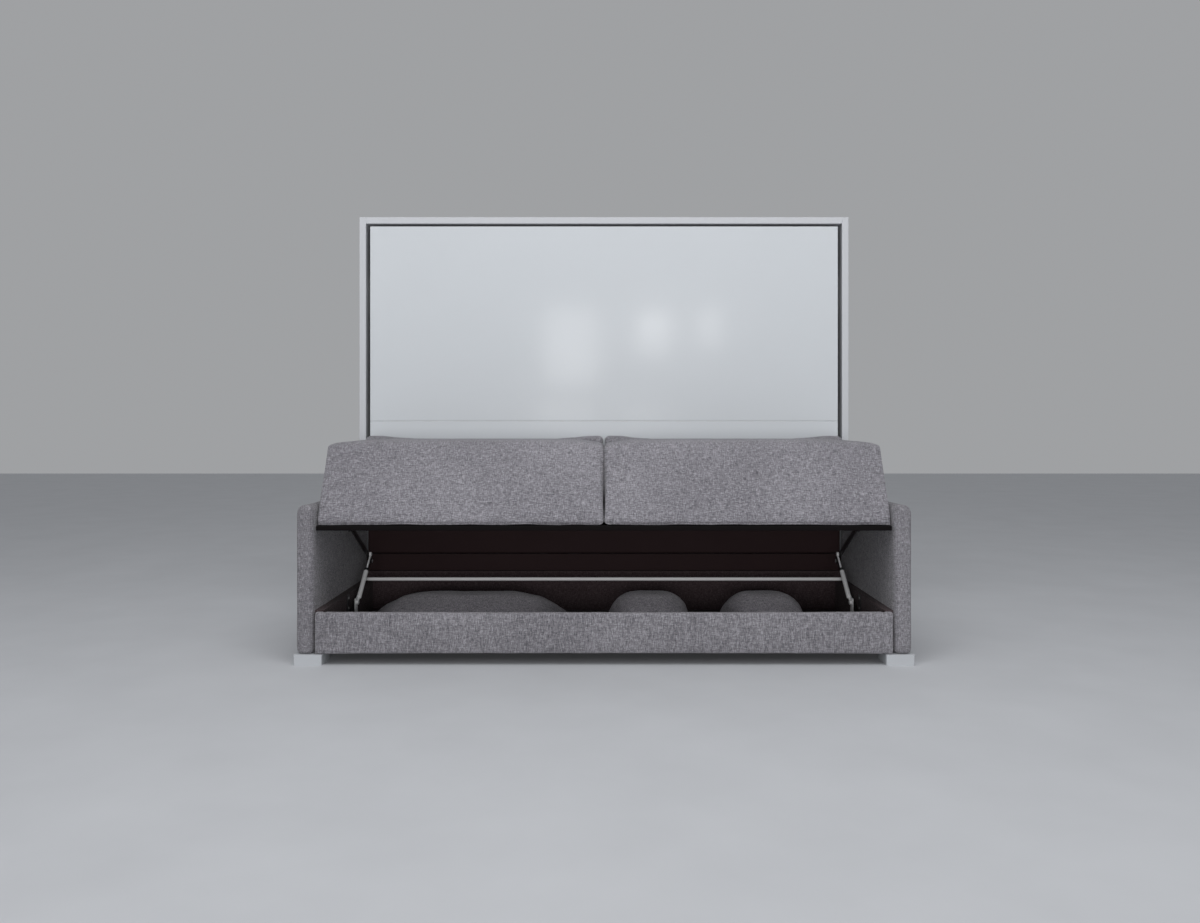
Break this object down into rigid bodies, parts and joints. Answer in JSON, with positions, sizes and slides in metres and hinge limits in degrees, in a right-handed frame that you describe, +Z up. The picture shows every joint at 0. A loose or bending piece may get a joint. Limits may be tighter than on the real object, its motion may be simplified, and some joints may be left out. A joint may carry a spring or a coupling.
{
  "type": "sofa wall bed",
  "caption": "Upholstered sofa with a level lifting seat over a storage box, in front of a white cabinet whose bed folds down over the closed seat.",
  "frame": {"origin": "floor level, middle of the whole footprint", "axes": "+Z up, the sofa faces -Y, the cabinet backs on to a wall at +Y, X along the sofa"},
  "size_m": [2.184, 1.244, 1.744],
  "materials": {
    "upholstery": "woven grey melange upholstery",
    "box_lining": "board in dark linen-textured lining",
    "black_board": "black board edge",
    "grey_feet": "light grey moulded plastic",
    "gloss_white": "gloss white laminate on board",
    "matt_white": "satin white laminated board",
    "webbing": "black webbing",
    "ticking": "quilted off-white ticking",
    "birch": "bent birch slats",
    "dark_steel": "dark grey powder coat",
    "bright_steel": "zinc plated steel"
  },
  "bodies": {
    "base": {"arm_left": "upholstery", "arm_right": "upholstery", "box_floor": "box_lining", "box_front": "upholstery", "box_rear": "box_lining", "box_side_left": "box_lining", "box_side_right": "box_lining", "cabinet_plinth": "black_board", "cabinet_side_left": "matt_white", "cabinet_side_right": "matt_white", "cabinet_top": "matt_white", "foot_front_left": "grey_feet", "foot_front_right": "grey_feet", "foot_rear_left": "grey_feet", "foot_rear_right": "grey_feet", "gas_foot_left": "bright_steel", "gas_foot_right": "bright_steel", "lift_base_left": "dark_steel", "lift_base_right": "dark_steel", "pillow_large": "upholstery", "pillow_small_inner": "upholstery", "pillow_small_outer": "upholstery", "pivot_plate_left": "bright_steel", "pivot_plate_right": "bright_steel", "spring_stud_left": "bright_steel", "spring_stud_right": "bright_steel", "wall_rail_lower": "matt_white", "wall_rail_upper": "matt_white"},
    "bed": {"back_apron": "black_board", "back_cushion_left": "upholstery", "back_cushion_right": "upholstery", "bed_panel_lower": "gloss_white", "bed_panel_upper": "gloss_white", "bed_rail_lower": "dark_steel", "bed_rail_upper": "dark_steel", "bed_side_rail_left": "dark_steel", "bed_side_rail_right": "dark_steel", "bed_slats": "birch", "mattress": "ticking", "mattress_straps": "webbing"},
    "seat": {"lid_bracket_left": "dark_steel", "lid_bracket_right": "dark_steel", "seat_board": "black_board", "seat_cushion_left": "upholstery", "seat_cushion_right": "upholstery"},
    "lower_arms": {"cross_tube": "bright_steel", "lower_arm_left": "dark_steel", "lower_arm_right": "dark_steel"},
    "upper_arms": {"upper_arm_left": "dark_steel", "upper_arm_right": "dark_steel"},
    "seat_cylinders": {"gas_cylinder_left": "bright_steel", "gas_cylinder_right": "bright_steel"},
    "seat_rods": {"gas_rod_left": "bright_steel", "gas_rod_right": "bright_steel"},
    "bed_cylinders": {"bed_cylinder_left": "dark_steel", "bed_cylinder_right": "dark_steel"},
    "bed_rods": {"bed_rod_left": "bright_steel", "bed_rod_right": "bright_steel"}
  },
  "joints": [
    {"name": "bed_fold", "type": "hinge", "parent": "base", "child": "bed", "pos_m": [0, 0.234, 0.575], "axis": [1, 0, 0], "range_deg": [0, 90]},
    {"name": "seat_lift", "type": "slide", "parent": "base", "child": "seat", "axis": [0, 0, 1], "range_m": [-0.2821, 0]},
    {"name": "lower_arm_swing", "type": "hinge", "parent": "base", "child": "lower_arms", "pos_m": [0, -0.272, 0.1], "axis": [1, 0, 0], "range_deg": [-23.2, 0]},
    {"name": "upper_arm_swing", "type": "hinge", "parent": "seat", "child": "upper_arms", "pos_m": [0, -0.272, 0.443], "axis": [1, 0, 0], "range_deg": [0, 23.2]},
    {"name": "seat_spring_swing", "type": "hinge", "parent": "base", "child": "seat_cylinders", "pos_m": [0, -0.23, 0.15], "axis": [1, 0, 0], "range_deg": [-40.22, 0]},
    {"name": "seat_spring_stroke", "type": "slide", "parent": "seat_cylinders", "child": "seat_rods", "axis": [0, 0.7968, 0.6043], "range_m": [-0.021, 0]},
    {"name": "bed_spring_swing", "type": "hinge", "parent": "base", "child": "bed_cylinders", "pos_m": [0, 0.354, 1.375], "axis": [1, 0, 0], "range_deg": [0, 8.23]},
    {"name": "bed_spring_stroke", "type": "slide", "parent": "bed_cylinders", "child": "bed_rods", "axis": [0, -0.1047, -0.9945], "range_m": [-0.17477, 0]}
  ],
  "couplings": [
    {"joint": "seat_lift", "follows": "bed_fold", "m_per_rad": -0.17953},
    {"joint": "lower_arm_swing", "follows": "bed_fold", "ratio": -0.25758},
    {"joint": "upper_arm_swing", "follows": "bed_fold", "ratio": 0.25758},
    {"joint": "seat_spring_swing", "follows": "bed_fold", "ratio": -0.44668},
    {"joint": "seat_spring_stroke", "follows": "bed_fold", "m_per_rad": -0.013305},
    {"joint": "bed_spring_swing", "follows": "bed_fold", "ratio": 0.09124},
    {"joint": "bed_spring_stroke", "follows": "bed_fold", "m_per_rad": -0.1112}
  ]
}
